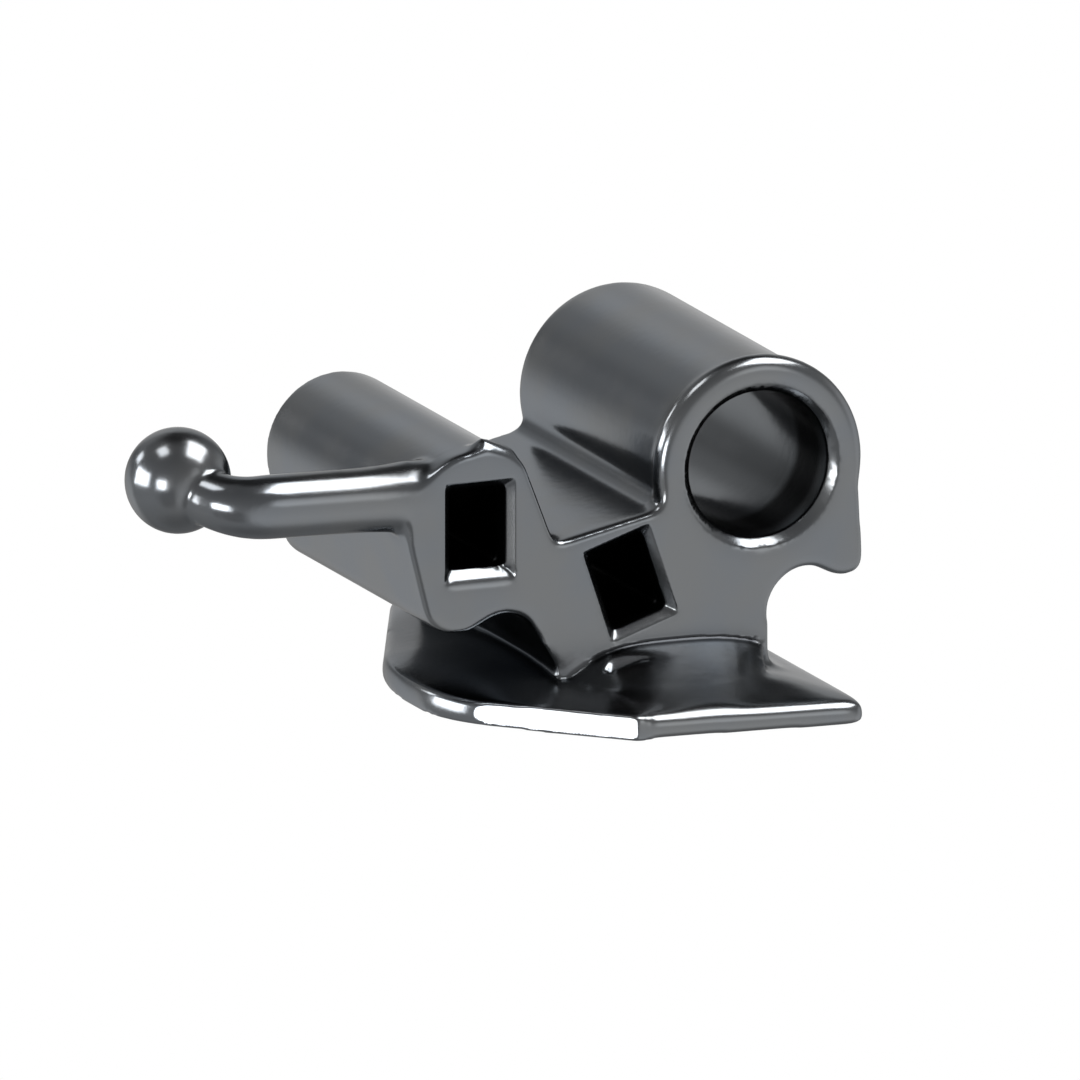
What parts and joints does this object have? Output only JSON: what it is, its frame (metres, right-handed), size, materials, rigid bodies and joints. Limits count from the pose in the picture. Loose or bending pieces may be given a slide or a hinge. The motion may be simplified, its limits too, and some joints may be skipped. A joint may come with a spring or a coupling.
{
  "type": "buccal tube",
  "caption": "Triple buccal tube for an upper molar: round headgear tube, auxiliary slot, torqued main slot and ball hook on a curved bonding pad.",
  "frame": {"origin": "bottom centre of the bounding box, level with the lowest edge of the bonding pad", "axes": "+Z away from the tooth, +Y along the tubes from their flared mouths to their back ends, +X from the ball hook towards the round headgear tube"},
  "size_m": [0.0058, 0.0044, 0.0027],
  "materials": {
    "polished_steel": "polished"
  },
  "bodies": {
    "root": {"tube_body": "polished_steel"}
  },
  "joints": []
}
